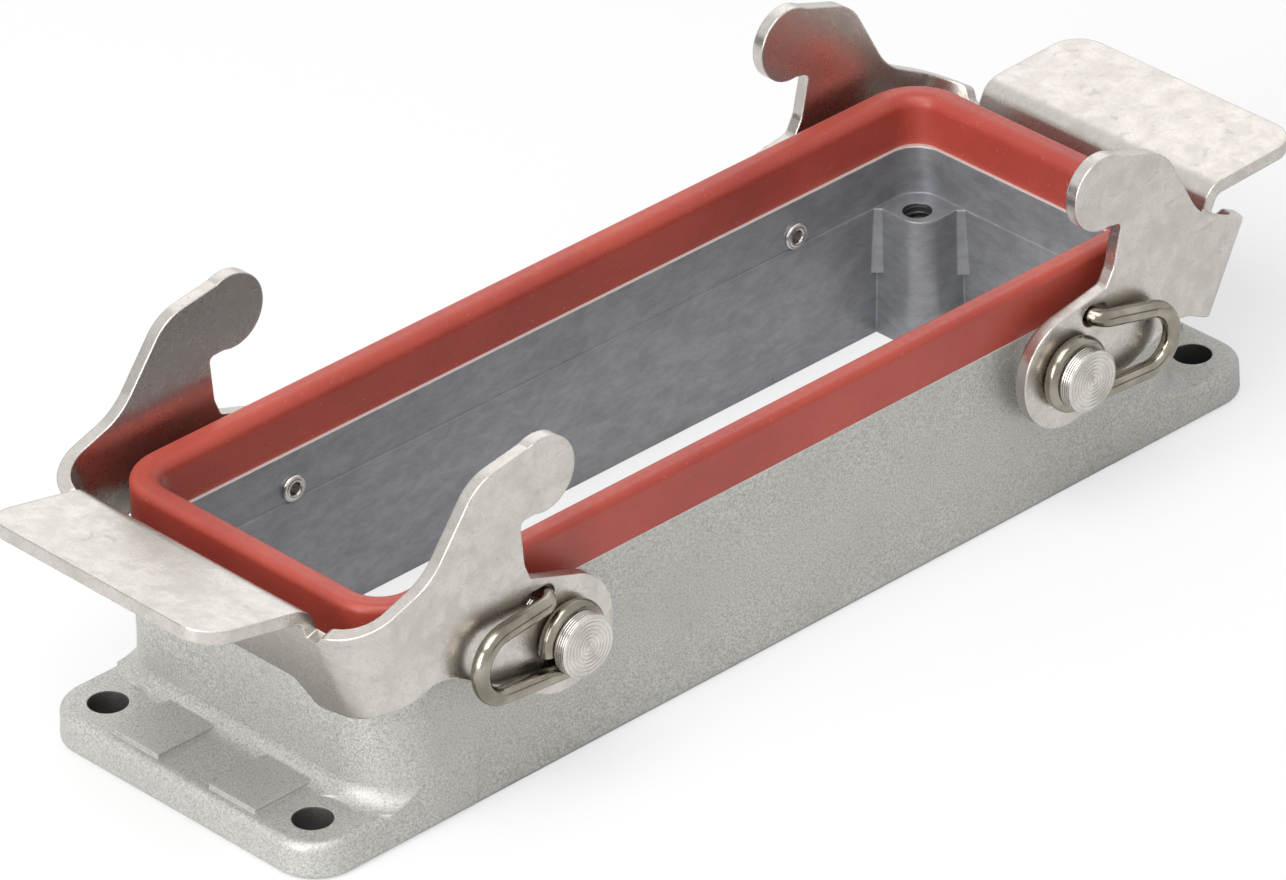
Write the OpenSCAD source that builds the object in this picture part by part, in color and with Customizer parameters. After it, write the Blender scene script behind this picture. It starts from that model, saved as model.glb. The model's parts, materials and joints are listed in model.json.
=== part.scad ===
// Heavy duty rectangular connector, 24 pole size: bulkhead mounting housing with two locking levers.
// The die cast base stands on its underside. X runs along its length, Z is up.
// The origin is the centre of the underside, which is also the centre of both screw patterns.

/* [Flange] */
// Length over both flange ends
flange_l = 140; // [120:0.5:160]
// How far the flange ends stand out beyond the long walls
flange_over = 0.3; // [0:0.1:3]
// Height of the flange ends
flange_h = 4.3; // [3:0.1:8]
// Plan radius of the flange corners
flange_r = 5.2; // [3:0.1:8]
// Radius of the upper edge of the flange
flange_top_r = 1.0; // [0.3:0.1:1.5]
// Radius of the lower edge of the flange
flange_low_r = 0.7; // [0.3:0.1:1.5]
// Draft of the flange sides, degrees
flange_draft = 2; // [0:0.5:4]
// Distance of the fixing holes from the flange ends
fix_end = 5; // [4:0.1:8]
// Distance of the fixing holes from the flange sides
fix_side = 5.5; // [4:0.1:8]
// Diameter of the fixing holes
fix_d = 4.4; // [4:0.1:5.5]
// Diameter of the spot face round each fixing hole
spot_d = 8.6; // [7:0.1:10]
// Where the flange end becomes wider than the long wall, from the centre
cheek_x = 47.3; // [40:0.1:52]
// Height to which that wider end rises before it runs out
cheek_h = 9; // [6:0.5:14]
// Height of the rib on the flange end above the flange
pad_h = 0.5; // [0:0.1:1]
// How far that rib reaches into the end wall
pad_in = 0.6; // [0.2:0.1:1]
// Distance of its outer end from the flange end
pad_end = 1.4; // [0.8:0.1:4]
// Half breadth of the rib
pad_y = 11.1; // [8:0.1:12]
// Breadth of the bare recess in the rib
recess_w = 8; // [4:0.5:14]

/* [Walls] */
// Length of the wall rectangle at the top, outside
wall_l = 119.2; // [110:0.2:122]
// Width of the wall rectangle at the top, outside
wall_w = 42.4; // [40:0.1:46]
// Height of the machined rim above the underside
wall_h = 22; // [18:0.5:30]
// Outer corner radius of the walls
wall_r = 6.5; // [4.5:0.1:7.5]
// How much each outer wall face spreads from rim to underside
wall_spread = 0.2; // [0:0.05:0.6]
// Cast fillet between flange and wall
cast_r = 2.2; // [1:0.1:4]

/* [Cavity] */
// Wall thickness at the rim
wall_t = 3.8; // [3:0.1:5]
// Corner radius of the opening
cav_r = 3.4; // [2:0.1:5]
// Height at which the two core halves meet
part_z = 16.2; // [12:0.1:19]
// Inward step of the wall at that height
part_step = 0.15; // [0.05:0.05:0.4]
// Outward draft of the cavity wall from that height down to the underside
cav_spread = 0.6; // [0:0.1:1]

/* [Insert bosses] */
// Distance between insert screws along the length
ins_l = 104; // [90:0.5:110]
// Distance between insert screws across the width
ins_w = 27; // [24:0.5:30]
// Core diameter of the insert screw thread
ins_d = 3.3; // [2.5:0.1:4]
// Height of the boss faces
boss_z = 16.2; // [12:0.1:19]
// Distance from the screw to the boss side that faces along the length
boss_dx = 2.4; // [2:0.1:4]
// Distance from the screw to the boss side that faces across the width
boss_dy = 3.1; // [2:0.1:4]
// Plan radius of the free corner of the boss
boss_r = 2.8; // [1:0.1:3]
// Fillet between boss and cavity wall
boss_fillet = 0.9; // [0.5:0.1:2]
// Height at which those fillets start
boss_fillet_z = 8; // [4:0.5:12]
// Depth of the threaded hole
ins_depth = 11; // [6:0.5:14]

/* [Rim seal] */
// Height of the seal above the rim
seal_h = 5.8; // [3:0.1:8]
// How far the outside of the seal stands back from the outside of the wall
seal_back = 0.05; // [0:0.05:1]
// Bright strip of rim left free inside the seal
seal_in = 0.45; // [0.2:0.05:1]
// Radius of the outer top edge
seal_out_r = 0.9; // [0.3:0.1:1.5]
// Radius of the inner top edge
seal_in_r = 1.5; // [0.5:0.1:1.6]
// Breadth of the foot that sits in the groove of the rim
foot_w = 1.5; // [0.8:0.1:2]
// Depth of that foot
foot_h = 1.6; // [0.5:0.1:3]
// Side clearance of the foot in the groove
foot_gap = 0.05; // [0.02:0.01:0.2]

/* [Flange seal] */
// Breadth of the flat seal under the walls
under_w = 1.8; // [1:0.1:2.4]
// Depth of its groove
under_h = 1.6; // [1:0.1:3]
// Side clearance in the groove
under_gap = 0.05; // [0.02:0.01:0.2]

/* [Studs] */
// Distance of each pivot from the centre, along the length
pivot_x = 37; // [34:0.1:40]
// Height of the pivots
pivot_z = 17.7; // [15:0.1:19]
// Diameter of the stud head
head_d = 7.2; // [6:0.1:9]
// Thickness of the stud head
head_t = 1.55; // [1:0.05:4]
// Diameter of the neck that carries lever and spring
neck_d = 4.7; // [4:0.1:6]
// Running clearance of the lever on the neck, on the radius
run_gap = 0.08; // [0.03:0.01:0.1]
// Diameter of the shoulder between wall and lever
shoulder_d = 8.4; // [7:0.1:10]
// Diameter of the stem through the wall
stem_d = 2.6; // [2:0.1:4]
// Diameter of the rolled ring on the inside
ring_d = 3.1; // [2.8:0.1:5]
// Diameter of the hollow in the rolled end
hollow_d = 1.6; // [1:0.1:2]
// How far the rolled ring stands into the cavity
ring_h = 0.45; // [0.2:0.05:0.8]

/* [Levers] */
// Sheet thickness
sheet_t = 1.5; // [1:0.1:2]
// Distance of the inner lever face from the long wall
arm_off = 1.95; // [1:0.05:3]
// Side clearance between shoulder and lever
side_gap = 0.05; // [0.02:0.01:0.2]
// Outward lean of the lever on the positive side, degrees
lean_right = 28; // [1:0.5:29]
// Outward lean of the lever on the negative side, degrees
lean_left = 18.5; // [1:0.5:29]
// Radius of the lever foot round the pivot
foot_r = 6.7; // [6:0.1:8]
// Clearance between the upright cross web and the end wall
web_gap = 0.1; // [0.1:0.05:2]
// Outside bend radius between arm and web
bend_r = 6; // [3:0.1:8]
// Centre of the locking nose, outward from the pivot
nose_u = -4.3; // [-8:0.1:0]
// Centre of the locking nose, above the pivot
nose_w = 19.8; // [16:0.1:24]
// Radius of the locking nose
nose_r = 4.35; // [3:0.05:6]
// Shoulder corner, outward from the pivot
crown_u = 3.4; // [1:0.1:8]
// Height of the shoulder corner above the pivot
crown_w = 25.3; // [22:0.1:30]
// Radius of the shoulder corner
crown_r = 6; // [2:0.5:9]
// Height of the upper arm edge where it joins the web
edge_w = 19.1; // [16:0.1:22]
// Slope of the edge from the foot to the notch, degrees
foot_slope = 38; // [25:1:45]
// Length of that edge
foot_edge = 7; // [5:0.1:9]
// Radius where the long upper edge runs into the web edge
slope_r = 8; // [2:0.5:12]
// Radius where the lower edge runs into the web edge
lower_r = 5; // [2:0.5:10]
// Depth of the pocket under the nose, from the nose centre down
pocket_h = 2.9; // [2:0.1:4]
// Inner end of that pocket, outward from the pivot
pocket_u = 0.3; // [0:0.1:2]
// Radius of its corners
pocket_r = 0.7; // [0.3:0.1:1.5]
// Slope of the long upper edge, degrees
edge_slope = 34; // [20:1:50]
// Height of the lower arm edge where it joins the web
lower_w = 7.8; // [4:0.1:12]
// Slope of the lower edge next to the foot, degrees
lower_slope = 50; // [30:1:70]
// Height of the lower web edge at mid width
web_low_w = 9; // [5:0.1:12]
// Half breadth of that raised middle
web_low_y = 11.6; // [6:0.1:16]
// Lowest point of the web beside it
web_ear_w = 6; // [4:0.1:9]
// Distance from that middle to the lowest point
web_ear_run = 2.4; // [1:0.1:5]
// Radius of these two corners
web_ear_r = 1.2; // [0.5:0.1:3]
// Depth of the relief beside the tab, below the upper edge
relief_h = 1.3; // [0.5:0.1:3]
// Width of that relief
relief_w = 1.6; // [0.8:0.1:3]

/* [Lever tab] */
// Width of the finger tab
tab_w = 34.4; // [20:0.2:40]
// Flat length of the tab beyond its bend
tab_l = 12.6; // [8:0.1:20]
// Angle of the tab above the lever plane, degrees
tab_rise = 30; // [0:1:60]
// Inside bend radius of the tab
tab_bend = 1.3; // [0.8:0.1:4]
// Height at which the tab bend starts
tab_w0 = 19.1; // [16:0.1:22]
// Corner radius of the tab
tab_r = 3.8; // [1:0.1:6]

/* [Springs] */
// Wire diameter
wire_d = 2; // [1:0.05:2.4]
// Mean radius of the coil round the neck
coil_r = 3.4; // [3:0.05:4.5]
// How far the coil goes round the neck, degrees
coil_turn = 285; // [180:5:300]
// Direction of the lower leg in the lever plane, degrees
leg_a = 27; // [0:1:60]
// Direction of the upper leg in the lever plane, degrees
back_a = 16; // [0:1:60]
// Radius of the far turn
hair_r = 3.7; // [3:0.05:4.5]
// Length of the lower leg from the coil to the far turn
leg_l = 10.1; // [6:0.1:12]
// Length of the upper leg from the far turn to the hook
back_l = 6; // [3:0.1:8]
// How far the hairpin leans off the lever, degrees
stand_a = 4; // [0:0.5:8]
// Bend radius of the hook that goes through the lever
hook_r = 1.6; // [1.2:0.1:3]
// Straight end of the hook
hook_l = 1.2; // [0.5:0.1:2]
// Clearance of the wire under the stud head
wire_gap = 0.1; // [0.05:0.01:0.3]
// Clearance of the wire in that slot, on each side
slot_gap = 0.3; // [0.1:0.05:1]
// Extra length of the slot towards the far turn
slot_more = 1.4; // [0:0.1:3]

/* [Hidden] */
kink_gap = 0.08;
arc_over = 0.003;
fine = 48;
cast_grey = [0.74, 0.74, 0.72];
seal_red = [0.72, 0.30, 0.22];
steel = [0.80, 0.79, 0.76];
wire_steel = [0.75, 0.73, 0.66];
wall_y = wall_w / 2;
flange_w = wall_w + 2 * flange_over;
fix_l = flange_l - 2 * fix_end;
fix_w = flange_w - 2 * fix_side;
pad_x0 = wall_l / 2 - pad_in;
pad_x1 = flange_l / 2 - pad_end;
cav_l = wall_l - 2 * wall_t;
cav_w = wall_w - 2 * wall_t;
seal_t = wall_t - seal_in - seal_back;
arm_y = wall_y + arm_off;
arm_out = arm_y + sheet_t;
wire_y = arm_out + wire_d / 2;
head_in = wire_y + wire_d / 2 + wire_gap;
head_y = head_in + head_t;
web_in = wall_l / 2 - pivot_x + web_gap;
web_u = web_in + sheet_t;
bend_u = web_u - bend_r;
bend_y = arm_out - bend_r;
pivot_hole = neck_d + 2 * run_gap;
slot_w = wire_d + 2 * slot_gap;
far_turn = 180 + back_a - leg_a;

// Plane helpers

function unit(v) = v / norm(v);
function dir(a) = [cos(a), sin(a)];
function cross2(a, b) = a[0] * b[1] - a[1] * b[0];
function pt(p) = [p[0], p[1]];
function turn_at(p, i) = let(n = len(p), a = pt(p[(i + n - 1) % n]), b = pt(p[i]), c = pt(p[(i + 1) % n]))
    cross2(b - a, c - b);
function half_angle(p, i) = let(n = len(p), b = pt(p[i]), d0 = unit(pt(p[(i + n - 1) % n]) - b),
    d2 = unit(pt(p[(i + 1) % n]) - b)) acos(d0 * d2) / 2;
function back_dir(p, i) = let(n = len(p)) unit(pt(p[(i + n - 1) % n]) - pt(p[i]));
function next_dir(p, i) = let(n = len(p)) unit(pt(p[(i + 1) % n]) - pt(p[i]));
function t_len(p, i) = p[i][2] / tan(half_angle(p, i));
function arc_c(p, i) = pt(p[i]) + unit(back_dir(p, i) + next_dir(p, i)) * p[i][2] / sin(half_angle(p, i));
function cut_in(p, i) = pt(p[i]) + back_dir(p, i) * t_len(p, i);
function cut_out(p, i) = pt(p[i]) + next_dir(p, i) * t_len(p, i);

// Closed outline given anticlockwise as [x, y, radius], with true arcs at its corners.
// Each arc swells by arc_over past its tangent lines, so that it always crosses them.
module outline(p) {
    n = len(p);
    flat = [for (i = [0 : n - 1]) each (p[i][2] > 0 && turn_at(p, i) > 0
        ? [cut_in(p, i), cut_out(p, i)] : [pt(p[i])])];
    polygon(flat);
    for (i = [0 : n - 1])
        if (p[i][2] > 0)
            if (turn_at(p, i) > 0)
                translate(arc_c(p, i)) intersection() {
                    circle(r = p[i][2] + arc_over, $fn = fine);
                    sector(cut_in(p, i) - arc_c(p, i), pt(p[i]) - arc_c(p, i), cut_out(p, i) - arc_c(p, i));
                }
            else
                difference() {
                    translate(arc_c(p, i)) polygon([for (q = [cut_in(p, i), [0, 0], cut_out(p, i), pt(p[i])])
                        q == [0, 0] ? q : 1.08 * (q - arc_c(p, i))]);
                    translate(arc_c(p, i)) circle(r = p[i][2] + arc_over, $fn = fine);
                }
}

// Wedge from the origin past the points a, far and b, a little wider than they are
module sector(a, far, b) {
    polygon([[0, 0], 1.3 * a + 0.1 * (a - b), 1.3 * far, 1.3 * b + 0.1 * (b - a)]);
}

module plan_rect(l, w, r) {
    outline([[l / 2, -w / 2, r], [l / 2, w / 2, r], [-l / 2, w / 2, r], [-l / 2, -w / 2, r]]);
}

// Carries a section, drawn outward from a corner axis, round a rectangle of axes
module carried(cx, cy) {
    for (s = [-1, 1]) {
        translate([-cx, s * cy, 0]) rotate([90, 0, 90]) linear_extrude(2 * cx)
            scale([s, 1]) children();
        translate([s * cx, cy, 0]) rotate([90, 0, 0]) linear_extrude(2 * cy)
            scale([s, 1]) children();
    }
    for (a = [0 : 3])
        translate([(a == 0 || a == 3 ? cx : -cx), (a < 2 ? cy : -cy), 0])
            rotate([0, 0, 90 * a]) rotate_extrude(angle = 90, $fn = fine) children();
}

// Solid plate whose edge section is the given one
module plate(cx, cy, z0, z1) {
    carried(cx, cy) children();
    translate([-cx, -cy, z0]) cube([2 * cx, 2 * cy, z1 - z0]);
}

// Housing

flange_cx = flange_l / 2 - flange_r;
flange_cy = flange_w / 2 - flange_r;
wall_cx = wall_l / 2 - wall_r;
wall_cy = wall_y - wall_r;
cav_cx = cav_l / 2 - cav_r;
cav_cy = cav_w / 2 - cav_r;

// Edge of the flange: drafted side with a rounded edge above and below
module flange_edge() {
    n = dir(flange_draft);
    reach = n[0] * flange_r;
    lo = [(reach - flange_low_r - n[1] * flange_low_r) / n[0], flange_low_r];
    hi = [(reach - flange_top_r - n[1] * (flange_h - flange_top_r)) / n[0], flange_h - flange_top_r];
    translate(lo) circle(r = flange_low_r, $fn = 32);
    translate(hi) circle(r = flange_top_r, $fn = 32);
    polygon([[0, 0], [lo[0], 0], lo + n * flange_low_r, hi + n * flange_top_r,
             [hi[0], flange_h], [0, flange_h]]);
}

module flange_ends() {
    difference() {
        plate(flange_cx, flange_cy, 0, flange_h) flange_edge();
        translate([-cheek_x, -flange_w, -1]) cube([2 * cheek_x, 2 * flange_w, flange_h + 2]);
    }
}

// The walls stand a little wider low down near the flange ends
module cheeks() {
    cheek = flange_w / 2 - wall_y + wall_r;
    intersection() {
        plate(wall_cx, wall_cy, flange_low_r, cheek_h)
            polygon([[0, flange_low_r], [cheek, flange_low_r], [cheek, flange_h],
                     [wall_r + wall_spread / 2, cheek_h], [0, cheek_h]]);
        for (s = [0, 180])
            rotate([90, 0, s]) translate([0, 0, -flange_w])
                linear_extrude(2 * flange_w)
                    outline([[cheek_x, flange_low_r, 1.2], [flange_l, flange_low_r, 0],
                             [flange_l, cheek_h, 0], [cheek_x - 1, cheek_h, 0]]);
    }
}

module walls() {
    plate(wall_cx, wall_cy, 0, wall_h)
        polygon([[0, 0], [wall_r + wall_spread - 0.4, 0], [wall_r + wall_spread, 0.6],
                 [wall_r, wall_h], [0, wall_h]]);
}

// Cast fillet from the flange up the end walls
module cast_fillet() {
    intersection() {
        carried(wall_cx, wall_cy)
            difference() {
                translate([wall_r - 1, flange_h - 1]) square([cast_r + 1.2, cast_r + 1]);
                translate([wall_r + 0.2 + cast_r, flange_h + cast_r]) circle(r = cast_r, $fn = fine);
            }
        translate([0, 0, flange_h - 1]) linear_extrude(cast_r + 2)
            plan_rect(flange_l - 2, flange_w - 0.3, flange_r - 1);
    }
}

module end_rib() {
    difference() {
        translate([pad_x0, -pad_y, flange_h - 1]) cube([pad_x1 - pad_x0, 2 * pad_y, 1 + pad_h]);
        translate([pad_x0 - 1, -recess_w / 2, flange_h]) cube([pad_x1 - pad_x0 + 2, recess_w, pad_h + 1]);
    }
}

module cavity() {
    low = cav_r - part_step;
    difference() {
        plate(cav_cx, cav_cy, -1, wall_h + 1)
            polygon([[0, -1], [low + cav_spread, -1], [low + cav_spread, 0], [low, part_z],
                     [cav_r, part_z], [cav_r, wall_h + 1], [0, wall_h + 1]]);
        for (sx = [-1, 1], sy = [-1, 1]) scale([sx, sy, 1]) insert_boss();
    }
}

// Corner column that takes one insert screw
module insert_boss() {
    x0 = ins_l / 2 - boss_dx;
    y0 = ins_w / 2 - boss_dy;
    x1 = wall_l / 2 - 1.5;
    y1 = wall_y - 1.5;
    wy = cav_w / 2 + 0.1;
    wx = cav_l / 2 + 0.1;
    translate([0, 0, -2]) linear_extrude(boss_z + 2)
        outline([[x0, y0, boss_r], [x1, y0, 0], [x1, y1, 0], [x0, y1, 0]]);
    translate([0, 0, boss_fillet_z]) linear_extrude(boss_z - boss_fillet_z) {
        polygon([[x0 + 0.1, wy - boss_fillet], [x0, wy - boss_fillet], [x0 - boss_fillet, wy],
                 [x0 - boss_fillet, y1], [x0 + 0.1, y1]]);
        polygon([[wx - boss_fillet, y0 + 0.1], [wx - boss_fillet, y0], [wx, y0 - boss_fillet],
                 [x1, y0 - boss_fillet], [x1, y0 + 0.1]]);
    }
}

module at_corners(l, w) {
    for (sx = [-1, 1], sy = [-1, 1]) translate([sx * l / 2, sy * w / 2, 0]) children();
}

module rim_groove(gap) {
    c = seal_in + (seal_t - foot_w) / 2;
    carried(wall_cx, wall_cy)
        translate([wall_r - wall_t + c - gap, wall_h - foot_h - gap])
            square([foot_w + 2 * gap, foot_h + 2 * gap]);
}

module under_groove(gap) {
    inset = (wall_t - cav_spread - under_w) / 2;
    carried(wall_cx, wall_cy)
        translate([wall_r - inset - under_w - gap, -gap])
            square([under_w + 2 * gap, under_h + 2 * gap]);
}

module housing() {
    color(cast_grey) difference() {
        union() {
            walls();
            flange_ends();
            cheeks();
            cast_fillet();
            end_rib();
            rotate([0, 0, 180]) end_rib();
        }
        cavity();
        rim_groove(foot_gap);
        under_groove(under_gap);
        at_corners(fix_l, fix_w) {
            translate([0, 0, -1]) cylinder(d = fix_d, h = flange_h + 3, $fn = fine);
            translate([0, 0, flange_h]) cylinder(d = spot_d, h = cast_r + 1, $fn = fine);
        }
        at_corners(ins_l, ins_w)
            translate([0, 0, boss_z - ins_depth]) cylinder(d = ins_d, h = ins_depth + 1, $fn = fine);
        for (x = [-pivot_x, pivot_x])
            translate([x, 0, pivot_z]) rotate([90, 0, 0])
                cylinder(d = stem_d, h = wall_w + 2, center = true, $fn = fine);
    }
}

// Seals

module rim_seal() {
    // section between the inner and the outer side, drawn from the corner axis
    x0 = wall_r - wall_t + seal_in;
    x1 = x0 + seal_t;
    color(seal_red) union() {
        carried(wall_cx, wall_cy)
            translate([0, wall_h])
                outline([[x0, 0, 0], [x1, 0, 0], [x1, seal_h, seal_out_r], [x0, seal_h, seal_in_r]]);
        rim_foot();
    }
}

module rim_foot() {
    c = seal_in + (seal_t - foot_w) / 2;
    carried(wall_cx, wall_cy)
        translate([wall_r - wall_t + c, wall_h - foot_h])
            square([foot_w, foot_h + 0.5]);
}

module flange_seal() {
    color(seal_red) under_groove(0);
}

// Pivot stud, built along +Y from the cavity to the head face
module stud() {
    ring_y = cav_w / 2 - ring_h;
    seat_y = wall_y + wall_spread / 2;
    color(steel) rotate([-90, 0, 0]) rotate_extrude($fn = fine)
        difference() {
            outline([[0, ring_y, 0], [ring_d / 2, ring_y, 0.25], [ring_d / 2, cav_w / 2, 0],
                     [stem_d / 2, cav_w / 2, 0], [stem_d / 2, seat_y, 0], [shoulder_d / 2, seat_y, 0],
                     [shoulder_d / 2, arm_y - side_gap, 0], [neck_d / 2, arm_y - side_gap, 0],
                     [neck_d / 2, head_in, 0], [head_d / 2, head_in, 0],
                     [head_d / 2, head_y, 0.3], [0, head_y, 0]]);
            translate([-1, ring_y - 1]) square([hollow_d / 2 + 1, 2.6]);
        }
}

module stud_at(sx, sy) {
    translate([sx * pivot_x, 0, pivot_z]) scale([1, sy, 1]) stud();
}

// Lever in its own plane: u outward from the pivot, w up; built for the positive side

module arm_outline() {
    foot_top = (foot_r - 0.03) * dir(90 + foot_slope);
    notch_low = foot_top + foot_edge * dir(foot_slope);
    fall = dir(-edge_slope);
    crest = [crown_u, crown_w];
    slope_end = crest + fall * (crown_w - edge_w) / sin(edge_slope);
    low = dir(lower_slope);
    low_t = (foot_r - 0.03) * dir(lower_slope - 90);
    low_end = low_t + low * (lower_w - low_t[1]) / sin(lower_slope);
    circle(r = foot_r, $fn = 64);
    translate([nose_u, nose_w]) circle(r = nose_r, $fn = 64);
    outline([[low_t[0], low_t[1], 0], [low_end[0], lower_w, lower_r], [bend_u, lower_w, 0],
             [bend_u, edge_w, 0], [slope_end[0], edge_w, slope_r], [crest[0], crest[1], crown_r],
             [nose_u, nose_w + nose_r - 0.12, 0], [nose_u + 0.5, nose_w - nose_r + 0.25, 0],
             [pocket_u, nose_w - pocket_h, pocket_r], [pocket_u + 1.3, notch_low[1] + 2.2, 3],
             [notch_low[0] + 0.1, notch_low[1], pocket_r],
             [foot_top[0], foot_top[1], 0], [0, 0, 0]]);
}

// Where the wire's hook passes through the arm
function hook_at() = let(run = back_l * cos(stand_a) + hook_r, p = [leg_l * cos(stand_a), hair_r - coil_r]
    + hair_r * dir(far_turn - 90) + run * dir(far_turn))
    [p[0] * cos(leg_a) - p[1] * sin(leg_a), p[0] * sin(leg_a) + p[1] * cos(leg_a)];

module arm_holes() {
    circle(d = pivot_hole, $fn = 64);
    translate(hook_at()) rotate(back_a) {
        translate([0, -slot_w / 2]) square([slot_more, slot_w]);
        for (x = [0, slot_more]) translate([x, 0]) circle(d = slot_w, $fn = 32);
    }
}

// Cross web with its two corners, seen from above
module web_plan() {
    translate([web_in, -bend_y]) square([sheet_t, 2 * bend_y]);
    for (s = [-1, 1]) translate([bend_u, s * bend_y])
        intersection() {
            difference() {
                circle(r = bend_r, $fn = 64);
                circle(r = bend_r - sheet_t, $fn = 64);
            }
            translate([0, s > 0 ? 0 : -bend_r]) square(bend_r);
        }
}

// Height outline of web and corners, seen from outside
module web_front() {
    e = arm_out + 0.5;
    r = tab_w / 2;
    d = web_low_y + web_ear_run;
    half = [[web_low_y, web_low_w, web_ear_r], [d, web_ear_w, web_ear_r], [d + 1.6, web_ear_w + 0.15, 0],
            [bend_y + 2.6, lower_w - 0.4, 0], [bend_y + 4.6, lower_w, 0], [e, lower_w, 0],
            [e, edge_w, 0], [r + relief_w + 1, edge_w, 1], [r + relief_w, edge_w - relief_h, 0.7],
            [r, edge_w - relief_h, 0], [r, tab_w0, 0]];
    n = len(half);
    outline(concat(half, [for (i = [1 : n]) [-half[n - i][0], half[n - i][1], half[n - i][2]]]));
}

module tab() {
    turn = 90 - tab_rise;
    r = tab_bend + sheet_t;
    back = 0.11;
    translate([web_u + tab_bend, 0, tab_w0]) difference() {
        rotate([90, 0, 0]) linear_extrude(tab_w, center = true) {
            intersection() {
                difference() {
                    circle(r = r + arc_over, $fn = 64);
                    circle(r = tab_bend + arc_over, $fn = 64);
                }
                polygon([[0, 0], [-2 * r, 0], [-2 * r, 2 * r], 3 * r * [-cos(turn + 5), sin(turn + 5)]]);
            }
            rotate(tab_rise) translate([-back, tab_bend]) square([tab_l + back, sheet_t]);
        }
        rotate([0, -tab_rise, 0]) for (s = [-1, 1])
            translate([tab_l - tab_r, s * (tab_w / 2 - tab_r), 0]) linear_extrude(2 * r)
                difference() {
                    translate([0, s > 0 ? 0 : -tab_r - 1]) square(tab_r + 1);
                    circle(r = tab_r + arc_over, $fn = fine);
                }
    }
}

module lever() {
    color(steel) union() {
        for (s = [-1, 1])
            translate([0, s > 0 ? arm_out : -arm_y, 0]) rotate([90, 0, 0]) linear_extrude(sheet_t)
                difference() {
                    arm_outline();
                    arm_holes();
                }
        intersection() {
            linear_extrude(crown_w) web_plan();
            rotate([90, 0, 90]) linear_extrude(web_u + 1) web_front();
        }
        tab();
    }
}

// Puts lever parts on the left or the right pivots at their resting lean
module on_pivot(side, lean) {
    translate([side * pivot_x, 0, pivot_z]) scale([side, 1, 1]) rotate([0, lean, 0]) children();
}

module wire_arc(r, a) {
    rotate_extrude(angle = a, $fn = 40) translate([r, 0]) circle(d = wire_d, $fn = 16);
}

module wire_rod(l) {
    rotate([0, 90, 0]) cylinder(d = wire_d, h = l, $fn = 16);
}

// Slight swelling where the wire was kinked after coiling; it joins two runs of wire
module kink() {
    rotate([0, 90, 0]) sphere(d = wire_d + 0.06, $fn = 32);
}

// Wire spring over the lever face: coil round the neck, hairpin, hook through the slot
module spring() {
    color(wire_steel) translate([0, wire_y, 0]) rotate([90, 0, 0]) rotate([0, 0, leg_a]) {
        rotate([0, 0, 270 - coil_turn]) wire_arc(coil_r, coil_turn);
        translate([0, -coil_r, 0]) kink();
        translate([0, -coil_r, 0]) rotate([0, stand_a, 0]) {
            translate([kink_gap, 0, 0]) wire_rod(leg_l - kink_gap);
            translate([leg_l, hair_r, 0]) {
                rotate([0, 0, -90]) wire_arc(hair_r, far_turn);
                rotate([0, 0, far_turn - 90]) translate([hair_r, 0, 0]) rotate([0, 0, 90]) {
                    kink();
                    translate([kink_gap, 0, 0]) wire_rod(back_l - kink_gap);
                    translate([back_l, 0, 0]) hook();
                }
            }
        }
    }
}

// The wire turns inward and passes through the arm
module hook() {
    translate([0, 0, hook_r]) rotate([90, 0, 0]) rotate([0, 0, -90]) wire_arc(hook_r, 90);
    translate([hook_r, 0, hook_r]) cylinder(d = wire_d, h = hook_l, $fn = 16);
}

module lever_left() {
    on_pivot(-1, lean_left) lever();
}

module lever_right() {
    on_pivot(1, lean_right) lever();
}

module spring_on(side, lean, sy) {
    on_pivot(side, lean) scale([1, sy, 1]) spring();
}

housing();
rim_seal();
flange_seal();
lever_left();
lever_right();
stud_at(-1, -1);  // stud_left_front
stud_at(-1, 1);  // stud_left_back
stud_at(1, -1);  // stud_right_front
stud_at(1, 1);  // stud_right_back
spring_on(-1, lean_left, -1);  // spring_left_front
spring_on(-1, lean_left, 1);  // spring_left_back
spring_on(1, lean_right, -1);  // spring_right_front
spring_on(1, lean_right, 1);  // spring_right_back
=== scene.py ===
"""Looks of a bulkhead mounting housing with two locking levers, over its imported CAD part.

The finishes are procedural. The only shapes added are the threads in the insert holes.
"""
import math

import bpy
import bmesh
from mathutils import Matrix, Vector
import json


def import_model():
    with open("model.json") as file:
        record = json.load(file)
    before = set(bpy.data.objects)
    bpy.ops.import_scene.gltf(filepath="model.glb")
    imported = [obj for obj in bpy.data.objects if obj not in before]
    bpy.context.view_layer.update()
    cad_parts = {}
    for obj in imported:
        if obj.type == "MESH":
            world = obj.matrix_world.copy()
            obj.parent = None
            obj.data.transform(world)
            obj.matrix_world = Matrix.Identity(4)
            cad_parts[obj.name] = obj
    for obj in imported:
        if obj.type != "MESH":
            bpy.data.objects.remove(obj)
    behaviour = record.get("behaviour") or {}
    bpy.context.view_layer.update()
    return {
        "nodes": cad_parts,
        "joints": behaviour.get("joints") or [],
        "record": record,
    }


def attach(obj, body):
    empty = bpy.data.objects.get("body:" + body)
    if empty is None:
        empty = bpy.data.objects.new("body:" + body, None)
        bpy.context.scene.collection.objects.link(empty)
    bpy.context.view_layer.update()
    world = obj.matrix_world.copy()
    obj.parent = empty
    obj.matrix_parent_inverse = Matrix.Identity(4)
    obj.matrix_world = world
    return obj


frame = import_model()
nodes = frame["nodes"]
MM = 0.001

# Camera, from the centre of the underside: direction, distance and lens
CAM_AZIMUTH = -42.61
CAM_ELEVATION = 30.89
CAM_ROLL = -1.83
CAM_DISTANCE = 1107.5 * MM
CAM_LENS = 288.7
CAM_SENSOR = 36
CAM_CLIP = (50 * MM, 20000 * MM)
AIM_RIGHT = -2.33 * MM
AIM_UP = 12.68 * MM

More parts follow.
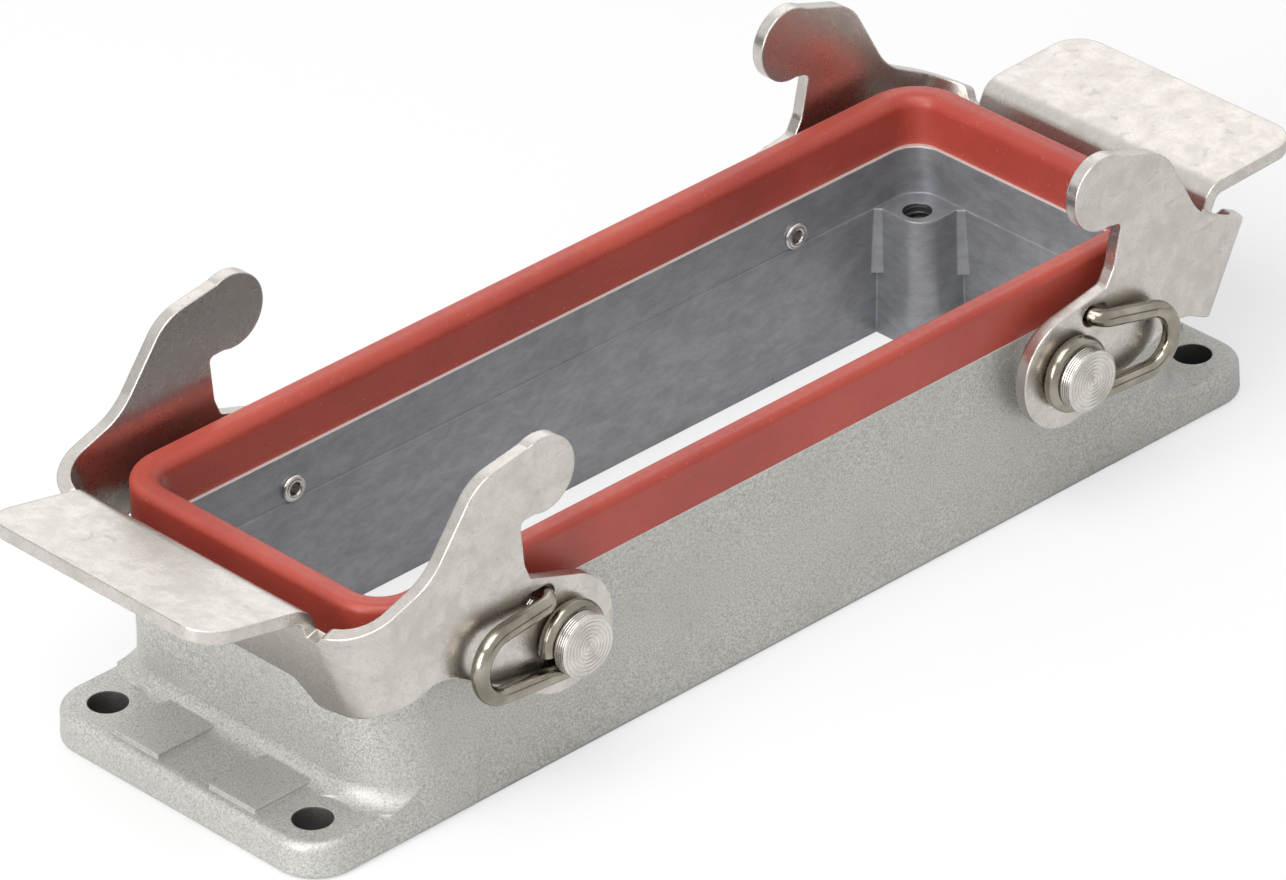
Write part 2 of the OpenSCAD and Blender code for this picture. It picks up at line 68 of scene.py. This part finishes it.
# Studio: the middle of the object, light levels, and each lamp's place, size in metres and watts
AIM_POINT = (0, 0, 12 * MM)
ROOM_LIGHT = 0.5
FLOOR_GREY = 0.85
FLOOR_GLOW = 0.6
FLOOR_SIZE = 6000 * MM
FLOOR_GAP = 0.05 * MM
LAMPS = {
    "key": ((-0.30, -0.12, 0.75), (0.6, 0.6), 4.2),
    "side": ((-0.80, -0.05, 0.30), (0.5, 0.5), 4.5),
    "rear": ((0.55, 0.65, 0.55), (0.9, 0.7), 1.25),
}
CARDS = {
    "dark_card_left": ((-0.45, 0.30, 0.10), (0.5, 0.22)),
    "dark_card_right": ((0.25, -0.55, 0.05), (0.5, 0.12)),
}
CARD_AIM = (0, 0, 20 * MM)

# Places on the part. The holes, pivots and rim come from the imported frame.
MOUNTS = {mount["name"]: mount for mount in frame["record"]["mounts"]}


def hole_pattern(name):
    """Half spacings and radius of a mount's four holes, in metres."""
    dims = MOUNTS[name]["dims"]
    return dims["spacing_x_mm"] / 2 * MM, dims["spacing_y_mm"] / 2 * MM, dims["hole_r_mm"] * MM


FIX_X, FIX_Y, FIX_R = hole_pattern("fixing_holes")
INSERT_X, INSERT_Y, INSERT_R = hole_pattern("insert_screws")
BOSS_Z = MOUNTS["insert_screws"]["pos_m"][2]
RIM_Z = max(corner[2] for corner in nodes["housing"].bound_box)
PIVOT_X = abs(frame["joints"][0]["pos_m"][0])
PIVOT_Z = frame["joints"][0]["pos_m"][2]
CAVITY_X, CAVITY_Y = 55.8 * MM, 17.4 * MM

# Threads in the insert holes: the ridge stands out of the bore and its foot is sunk in the wall
THREAD_PITCH = 0.7 * MM
THREAD_HEIGHT = 0.18 * MM
THREAD_SINK = 0.02 * MM
THREAD_FLANK = 0.30 * THREAD_PITCH
THREAD_LEAD = 0.35 * MM
THREAD_STOP = 2 * MM
INSERT_DEPTH = 11 * MM
THREAD_SIDES = 28


def srgb(r, g, b):
    """Linear colour from 8 bit sRGB values."""
    def lin(c):
        c /= 255
        return c / 12.92 if c <= 0.04045 else ((c + 0.055) / 1.055) ** 2.4
    return (lin(r), lin(g), lin(b), 1.0)


def level(value):
    """Neutral colour at a linear level."""
    return (value, value, value, 1.0)


# Shader helpers

class Paint:
    """A material whose nodes are added one by one. Colours are linear."""

    def __init__(self, name):
        self.mat = bpy.data.materials.new(name)
        self.mat.use_nodes = True
        self.tree = self.mat.node_tree
        self.tree.nodes.clear()
        self.out = self.tree.nodes.new("ShaderNodeOutputMaterial")
        self.bsdf = self.tree.nodes.new("ShaderNodeBsdfPrincipled")
        self.link(self.bsdf.outputs["BSDF"], self.out.inputs["Surface"])
        self.place = self.node("ShaderNodeTexCoord").outputs["Object"]
        self.normal = self.node("ShaderNodeNewGeometry").outputs["Normal"]

    def link(self, a, b):
        self.tree.links.new(a, b)

    def put(self, socket, value):
        """A link if value is another node's socket, else a value set on the socket itself."""
        if isinstance(value, bpy.types.NodeSocket):
            self.link(value, socket)
        else:
            socket.default_value = value

    def node(self, kind, props=None, **inputs):
        n = self.tree.nodes.new(kind)
        for k, v in (props or {}).items():
            setattr(n, k, v)
        for k, v in inputs.items():
            self.put(n.inputs[k.replace("_", " ")], v)
        return n

    def math(self, op, a, b=0.0):
        n = self.tree.nodes.new("ShaderNodeMath")
        n.operation = op
        self.put(n.inputs[0], a)
        self.put(n.inputs[1], b)
        return n.outputs[0]

    def add(self, a, b):
        return self.math("ADD", a, b)

    def times(self, a, b):
        return self.math("MULTIPLY", a, b)

    def less(self, a, b):
        return self.math("SUBTRACT", a, b)

    def aside(self, value, place):
        """How far the size of value is from place, for a thing that is mirrored about zero."""
        return self.less(self.math("ABSOLUTE", value), place)

    def reach(self, a, b):
        """Distance from the origin of the point a, b."""
        return self.math("SQRT", self.add(self.times(a, a), self.times(b, b)))

    def wave(self, value, pitch):
        """Sine of value, from -1 to 1, with this pitch."""
        return self.math("SINE", self.times(value, 2 * math.pi / pitch))

    def noise(self, scale, detail=3.0, rough=0.55, stretch=None, distortion=0.0):
        """Noise from about 0 to 1, scale in features per metre."""
        where = self.place
        if stretch:
            where = self.node("ShaderNodeMapping", Vector=where, Scale=stretch).outputs[0]
        n = self.node("ShaderNodeTexNoise", Vector=where, Scale=scale, Detail=detail,
                      Roughness=rough, Distortion=distortion)
        return n.outputs["Fac"]

    def steps(self, value, lo, hi, to_lo=0.0, to_hi=1.0):
        """value mapped smoothly from lo..hi to to_lo..to_hi, and held beyond."""
        n = self.tree.nodes.new("ShaderNodeMapRange")
        n.interpolation_type = "SMOOTHSTEP"
        for i, v in enumerate((value, lo, hi, to_lo, to_hi)):
            self.put(n.inputs[i], v)
        return n.outputs[0]

    def spread(self, noise, to_lo=0.0, to_hi=1.0):
        """The span where a noise mostly is, mapped to to_lo..to_hi."""
        return self.steps(noise, 0.3, 0.7, to_lo, to_hi)

    def mix(self, factor, a, b):
        n = self.tree.nodes.new("ShaderNodeMix")
        n.data_type = "RGBA"
        self.put(n.inputs["Factor"], factor)
        self.put(n.inputs[6], a)
        self.put(n.inputs[7], b)
        return n.outputs[2]

    def tint(self, colour, mask, strength, over):
        """colour, with over laid on it where mask is 1, at this strength."""
        return self.mix(self.times(mask, strength), colour, over)

    def bump(self, height, depth, onto=None):
        """Surface relief, height times depth metres."""
        n = self.node("ShaderNodeBump", Strength=1.0, Distance=depth, Height=height)
        if onto is not None:
            self.link(onto, n.inputs["Normal"])
        return n.outputs[0]

    def soft_edges(self, radius):
        n = self.node("ShaderNodeBevel", {"samples": 6}, Radius=radius)
        return n.outputs[0]

    def edge_mask(self, bevel):
        """About 1 on edges, 0 on open faces."""
        dot = self.node("ShaderNodeVectorMath", {"operation": "DOT_PRODUCT"})
        self.link(bevel, dot.inputs[0])
        self.link(self.normal, dot.inputs[1])
        return self.steps(dot.outputs["Value"], 0.995, 0.90)

    def axis(self, vector, i):
        return self.node("ShaderNodeSeparateXYZ", Vector=vector).outputs[i]

    def finish(self, colour, rough, metallic, normal):
        self.put(self.bsdf.inputs["Base Color"], colour)
        self.put(self.bsdf.inputs["Roughness"], rough)
        self.put(self.bsdf.inputs["Metallic"], metallic)
        self.put(self.bsdf.inputs["Normal"], normal)
        return self.mat


# Materials

def hole_mask(p, x, y, at_x, at_y, radius):
    """1 on the walls of the four holes at plus and minus at_x, at_y."""
    away = p.reach(p.aside(x, at_x), p.aside(y, at_y))
    return p.steps(away, radius + 0.06 * MM, radius + 0.02 * MM)


def cavity_mask(p, x, y):
    """1 inside the cavity and on its walls."""
    far, near = 0.9 * MM, 0.7 * MM
    return p.times(*(p.steps(p.math("ABSOLUTE", along), half + far, half + near)
                     for along, half in ((x, CAVITY_X), (y, CAVITY_Y))))


def cast_alloy():
    """Tumbled die casting: grainy and pale outside, smoother and darker in the cavity,
    bright on the machined rim, with painted shade darkening the holes."""
    p = Paint("cast_alloy")
    x, y, z = (p.axis(p.place, i) for i in range(3))
    bevel = p.soft_edges(0.35 * MM)
    inside = cavity_mask(p, x, y)
    grain = p.noise(4600, 3.0, 0.7)
    pits = p.steps(p.noise(1500, 1.0, 0.5), 0.28, 0.36, 1.0, 0.0)
    cloud = p.steps(p.noise(90, 4.0, 0.6), 0.35, 0.70, 0.0, 0.35)
    flow = p.noise(520, 6.0, 0.75, stretch=(0.5, 0.5, 1.0), distortion=0.3)

    outer = p.mix(p.steps(grain, 0.34, 0.66), srgb(158, 157, 153), srgb(205, 204, 200))
    outer = p.mix(cloud, outer, srgb(172, 170, 166))
    outer = p.tint(outer, pits, 0.35, srgb(140, 139, 136))
    inner = p.mix(p.spread(flow), srgb(134, 135, 139), srgb(156, 158, 162))
    colour = p.mix(inside, outer, inner)

    facing_up = p.steps(p.axis(p.normal, 2), 0.7, 0.9)
    machined = p.times(p.steps(z, RIM_Z - 0.1 * MM, RIM_Z - 0.03 * MM), facing_up)
    colour = p.mix(machined, colour, srgb(232, 230, 226))
    # Edges lightened: partly edge wear, partly a painted highlight where the edges catch the
    # light; faint inside the cavity.
    edge_wear_and_highlight = p.times(p.edge_mask(bevel), p.steps(inside, 0.0, 1.0, 0.40, 0.06))
    colour = p.mix(edge_wear_and_highlight, colour, srgb(218, 216, 211))
    # Painted shade: the walls of the fixing and insert holes, with the threads in them, are
    # darkened.
    hole_shade = p.math("MAXIMUM", hole_mask(p, x, y, FIX_X, FIX_Y, FIX_R),
                  hole_mask(p, x, y, INSERT_X, INSERT_Y, INSERT_R))
    colour = p.tint(colour, hole_shade, 0.9, srgb(72, 71, 70))

    rough = p.add(p.spread(grain, 0.44, 0.58), p.times(inside, -0.12))
    height = p.times(p.add(grain, p.times(pits, -0.5)), p.less(1.0, p.times(inside, 0.75)))
    return p.finish(colour, rough, 0.55, p.bump(height, 0.035 * MM, bevel))


def lever_steel():
    """Stamped and tumbled stainless sheet: satin, faintly mottled, with bright edges that are
    partly wear and partly a painted highlight.
    """
    p = Paint("lever_steel")
    bevel = p.soft_edges(0.3 * MM)
    mottle = p.noise(420, 5.0, 0.65, distortion=0.3)
    tumble = p.noise(3000, 2.0, 0.6)
    speck = p.steps(tumble, 0.56, 0.66)
    nicks = p.steps(p.noise(420, 2.0, 0.4, stretch=(1.0, 1.0, 3.0), distortion=1.5), 0.66, 0.72)
    colour = p.mix(p.spread(mottle), srgb(188, 183, 177), srgb(204, 199, 193))
    colour = p.tint(colour, nicks, 0.35, srgb(168, 164, 158))
    colour = p.tint(colour, speck, 0.22, srgb(150, 146, 141))
    # Edges lightened: partly edge wear, partly a painted highlight where the edges catch the
    # light.
    colour = p.tint(colour, p.edge_mask(bevel), 0.5, srgb(226, 223, 218))
    rough = p.add(p.spread(mottle, 0.32, 0.25), p.times(nicks, 0.1))
    height = p.add(tumble, p.times(mottle, 1.5))
    return p.finish(colour, rough, 1.0, p.bump(height, 0.008 * MM, bevel))


def turned_steel():
    """Turned and tumbled pivot stud: concentric rings on its ends, finer ones along it."""
    p = Paint("turned_steel")
    x, y, z = (p.axis(p.place, i) for i in range(3))
    bevel = p.soft_edges(0.25 * MM)
    ends = p.steps(p.math("ABSOLUTE", p.axis(p.normal, 1)), 0.8, 0.95)
    radius = p.reach(p.aside(x, PIVOT_X), p.less(z, PIVOT_Z))
    rings = p.times(p.wave(radius, 0.45 * MM), ends)
    along = p.times(p.wave(y, 0.30 * MM), p.less(1.0, ends))
    stain = p.noise(500, 4.0, 0.6)
    colour = p.mix(p.spread(stain), srgb(196, 192, 186), srgb(216, 212, 206))
    colour = p.mix(p.steps(rings, 0.2, 1.0, 0.0, 0.35), colour, srgb(150, 146, 140))
    # Edges lightened: partly edge wear, partly a painted highlight where the edges catch the
    # light.
    colour = p.tint(colour, p.edge_mask(bevel), 0.5, srgb(240, 238, 234))
    height = p.add(rings, p.times(along, 0.6))
    return p.finish(colour, p.spread(stain, 0.30, 0.22), 1.0, p.bump(height, 0.03 * MM, bevel))


def spring_wire():
    """Drawn stainless spring wire, greyish brown, with drawing marks."""
    p = Paint("spring_wire")
    marks = p.noise(1800, 3.0, 0.6)
    stain = p.noise(260, 2.0, 0.5)
    colour = p.mix(p.spread(stain), srgb(128, 122, 110), srgb(168, 162, 150))
    return p.finish(colour, p.spread(marks, 0.13, 0.24), 1.0, p.bump(marks, 0.006 * MM))


def seal_rubber(name):
    """Moulded red-brown rubber: soft gloss, faint dust and moulding flow."""
    p = Paint(name)
    bevel = p.soft_edges(0.15 * MM)
    flow = p.noise(45, 4.0, 0.6, distortion=0.5)
    skin = p.noise(1300, 3.0, 0.6)
    dust = p.steps(p.noise(2600, 1.0, 0.5), 0.70, 0.76)
    colour = p.mix(p.spread(flow), srgb(156, 54, 42), srgb(174, 67, 51))
    colour = p.tint(colour, dust, 0.22, srgb(214, 160, 146))
    p.put(p.bsdf.inputs["Specular IOR Level"], 0.55)
    p.put(p.bsdf.inputs["Sheen Weight"], 0.06)
    p.put(p.bsdf.inputs["Sheen Roughness"], 0.4)
    p.put(p.bsdf.inputs["Sheen Tint"], srgb(235, 190, 180))
    return p.finish(colour, p.spread(skin, 0.36, 0.50), 0.0, p.bump(skin, 0.012 * MM, bevel))


def dress(node, mat):
    node.data.materials.clear()
    node.data.materials.append(mat)


# By the first word of a node's name
MATERIALS = {
    "housing": cast_alloy(),
    "lever": lever_steel(),
    "stud": turned_steel(),
    "spring": spring_wire(),
    "rim": seal_rubber("rim_rubber"),
    "flange": seal_rubber("flange_rubber"),
}
for name, node in nodes.items():
    dress(node, MATERIALS[name.split("_")[0]])


# Threads in the four insert holes

def thread(name, x, y, top):
    """Helical ridge that stands a little into a bore, from top down, thinning out at both ends."""
    mesh = bpy.data.meshes.new(name)
    bm = bmesh.new()
    length = INSERT_DEPTH - THREAD_STOP
    count = int(length / THREAD_PITCH * THREAD_SIDES)
    rows = []
    for i in range(count + 1):
        turns = i / THREAD_SIDES
        angle = 2 * math.pi * turns
        z = top - turns * THREAD_PITCH
        taper = min(1.0, turns, (count - i) / THREAD_SIDES)
        foot = INSERT_R + THREAD_SINK
        crest = INSERT_R - THREAD_HEIGHT * taper
        row = []
        for r, dz in ((foot, -THREAD_FLANK), (crest, 0.0), (foot, THREAD_FLANK)):
            row.append(bm.verts.new((x + r * math.cos(angle), y + r * math.sin(angle), z + dz)))
        rows.append(row)
    for a, b in zip(rows, rows[1:]):
        for j in range(3):
            k = (j + 1) % 3
            bm.faces.new((a[j], b[j], b[k], a[k]))
    bm.faces.new(reversed(rows[0]))
    bm.faces.new(rows[-1])
    bmesh.ops.recalc_face_normals(bm, faces=bm.faces)
    bm.to_mesh(mesh)
    bm.free()
    piece = bpy.data.objects.new(name, mesh)
    bpy.context.scene.collection.objects.link(piece)
    mesh.materials.append(MATERIALS["housing"])
    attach(piece, "base")


for i, (sx, sy) in enumerate(((1, 1), (1, -1), (-1, 1), (-1, -1))):
    thread(f"insert_thread_{i + 1}", sx * INSERT_X, sy * INSERT_Y, BOSS_Z - THREAD_LEAD)


# Floor, world, lamps and camera

def floor():
    """Pale paper that glows a little to the camera and keeps the object's shadow."""
    bpy.ops.mesh.primitive_plane_add(size=FLOOR_SIZE, location=(0, 0, -FLOOR_GAP))
    plane = bpy.context.object
    plane.name = "floor"
    p = Paint("floor_paper")
    p.tree.nodes.remove(p.bsdf)
    paper = p.node("ShaderNodeBsdfDiffuse", Color=level(FLOOR_GREY))
    glow = p.node("ShaderNodeEmission", Color=level(1.0), Strength=1.0)
    seen = p.node("ShaderNodeLightPath").outputs["Is Camera Ray"]
    both = p.tree.nodes.new("ShaderNodeMixShader")
    p.link(p.times(seen, FLOOR_GLOW), both.inputs[0])
    p.link(paper.outputs[0], both.inputs[1])
    p.link(glow.outputs[0], both.inputs[2])
    p.link(both.outputs[0], p.out.inputs["Surface"])
    plane.data.materials.append(p.mat)


def world():
    """White to the camera, in reflections and through glass, and dimmer as a lamp."""
    studio = bpy.data.worlds.new("studio")
    bpy.context.scene.world = studio
    studio.use_nodes = True
    tree = studio.node_tree
    tree.nodes.clear()
    out = tree.nodes.new("ShaderNodeOutputWorld")
    path = tree.nodes.new("ShaderNodeLightPath")
    both = tree.nodes.new("ShaderNodeMixShader")
    for i, strength in ((1, ROOM_LIGHT), (2, 1.0)):
        light = tree.nodes.new("ShaderNodeBackground")
        light.inputs["Color"].default_value = level(1.0)
        light.inputs["Strength"].default_value = strength
        tree.links.new(light.outputs[0], both.inputs[i])
    seen = path.outputs["Is Camera Ray"]
    for ray in ("Is Transmission Ray", "Is Glossy Ray"):
        either = tree.nodes.new("ShaderNodeMath")
        either.operation = "MAXIMUM"
        tree.links.new(seen, either.inputs[0])
        tree.links.new(path.outputs[ray], either.inputs[1])
        seen = either.outputs[0]
    tree.links.new(seen, both.inputs[0])
    tree.links.new(both.outputs[0], out.inputs["Surface"])


def facing(place, target):
    """Rotation that points -Z from place to target."""
    return (Vector(target) - Vector(place)).to_track_quat("-Z", "Y").to_euler()


def lamp(name, place, size, power):
    data = bpy.data.lights.new(name, "AREA")
    data.shape = "RECTANGLE"
    data.size, data.size_y = size
    data.energy = power
    o = bpy.data.objects.new(name, data)
    bpy.context.scene.collection.objects.link(o)
    o.location = place
    o.rotation_euler = facing(place, AIM_POINT)


def card(name, place, size):
    """Dark studio card beside the object, seen only in reflections."""
    bpy.ops.mesh.primitive_plane_add(size=1, location=place)
    o = bpy.context.object
    o.name = name
    o.scale = (*size, 1)
    o.rotation_euler = facing(place, CARD_AIM)
    o.visible_camera = False
    o.visible_shadow = False
    o.visible_diffuse = False
    p = Paint(name)
    fibre = p.noise(900, 3.0)
    colour = p.mix(fibre, level(0.09), level(0.12))
    o.data.materials.append(p.finish(colour, 0.9, 0.0, p.bump(fibre, 0.02 * MM)))


def camera():
    """Camera at the photo's angle."""
    a, e, r = (math.radians(v) for v in (CAM_AZIMUTH, CAM_ELEVATION, CAM_ROLL))
    back = Vector((math.sin(a) * math.cos(e), -math.cos(a) * math.cos(e), math.sin(e)))
    flat = Vector((math.cos(a), math.sin(a), 0))
    upright = back.cross(flat)
    right = flat * math.cos(r) + upright * math.sin(r)
    up = upright * math.cos(r) - flat * math.sin(r)
    data = bpy.data.cameras.new("camera")
    data.sensor_fit = "HORIZONTAL"
    data.sensor_width = CAM_SENSOR
    data.lens = CAM_LENS
    data.clip_start, data.clip_end = CAM_CLIP
    cam = bpy.data.objects.new("camera", data)
    bpy.context.scene.collection.objects.link(cam)
    place = right * AIM_RIGHT + up * AIM_UP + back * CAM_DISTANCE
    turn = Matrix((right, up, back)).transposed()
    cam.matrix_world = Matrix.Translation(place) @ turn.to_4x4()
    bpy.context.scene.camera = cam


floor()
world()
for name, (place, size, power) in LAMPS.items():
    lamp(name, place, size, power)
for name, (place, size) in CARDS.items():
    card(name, place, size)
camera()
bpy.context.scene.view_settings.view_transform = "Standard"
